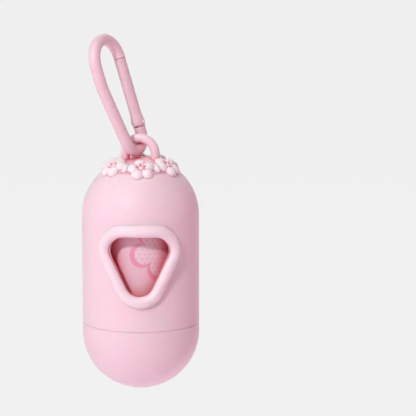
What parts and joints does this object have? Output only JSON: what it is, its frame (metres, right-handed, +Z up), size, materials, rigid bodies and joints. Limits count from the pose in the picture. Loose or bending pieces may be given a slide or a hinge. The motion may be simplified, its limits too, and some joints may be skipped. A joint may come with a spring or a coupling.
{
  "type": "dog poop bag dispenser",
  "caption": "Pill-shaped screw-apart case that holds a roll of poop bags behind a rounded-triangle window, with a blossom wreath, hanging loop and spring-gated carabiner.",
  "frame": {"origin": "middle of the small flat under the cap, on the case's axis", "axes": "+Z up the case's axis towards the carabiner, window faces -Y, +X to the right as seen from the window side"},
  "size_m": [0.042, 0.0442, 0.1282],
  "materials": {
    "carabiner_coat": "satin powder coat",
    "gate_coat": "satin powder coat",
    "steel": "plain drawn steel",
    "shell_pink": "fine matte moulding",
    "loop_pink": "fine matte moulding",
    "rim_pink": "fine matte moulding",
    "wreath_pink": "fine matte moulding",
    "cap_pink": "fine matte moulding",
    "core_board": "plain wound board",
    "printed_film": "thin printed film, soft sheen"
  },
  "bodies": {
    "carabiner": {"carabiner_frame": "carabiner_coat", "gate_pin": "steel"},
    "gate": {"carabiner_gate": "gate_coat", "gate_spring": "steel"},
    "plunger": {"gate_plunger": "steel"},
    "shell": {"upper_shell": "shell_pink", "hanging_loop": "loop_pink", "window_rim": "rim_pink", "blossom_wreath": "wreath_pink"},
    "core": {"roll_core": "core_board"},
    "film": {"bag_roll_film": "printed_film"},
    "cap": {"bottom_cap": "cap_pink"}
  },
  "joints": [
    {"name": "gate_open", "type": "hinge", "parent": "carabiner", "child": "gate", "pos_m": [-0.00092, 0.00524, 0.09579], "axis": [0.8416, -0.4848, 0.2381], "range_deg": [0, 25], "stiffness_Nm_per_rad": 0.04, "springref_deg": -17.19},
    {"name": "plunger_travel", "type": "slide", "parent": "gate", "child": "plunger", "axis": [-0.2723, 0, 0.9622], "range_m": [0, 0.00034906]},
    {"name": "case_swing", "type": "hinge", "parent": "carabiner", "child": "shell", "pos_m": [0, 0, 0.09037], "axis": [0.9659, -0.2588, 0], "range_deg": [-15, 30]},
    {"name": "cap_drop", "type": "slide", "parent": "shell", "child": "core", "axis": [0, 0, -1], "range_m": [0, 0.0075]},
    {"name": "roll_spin", "type": "hinge", "parent": "core", "child": "film", "pos_m": [0, 0, 0.01079], "axis": [0, 0, 1], "continuous": true},
    {"name": "cap_twist", "type": "hinge", "parent": "core", "child": "cap", "pos_m": [0, 0, 0.01], "axis": [0, 0, -1], "range_deg": [0, 540]}
  ],
  "couplings": [
    {"joint": "gate_open", "follows": "plunger_travel", "rad_per_m": 1250},
    {"joint": "cap_twist", "follows": "cap_drop", "rad_per_m": 1256.6}
  ]
}
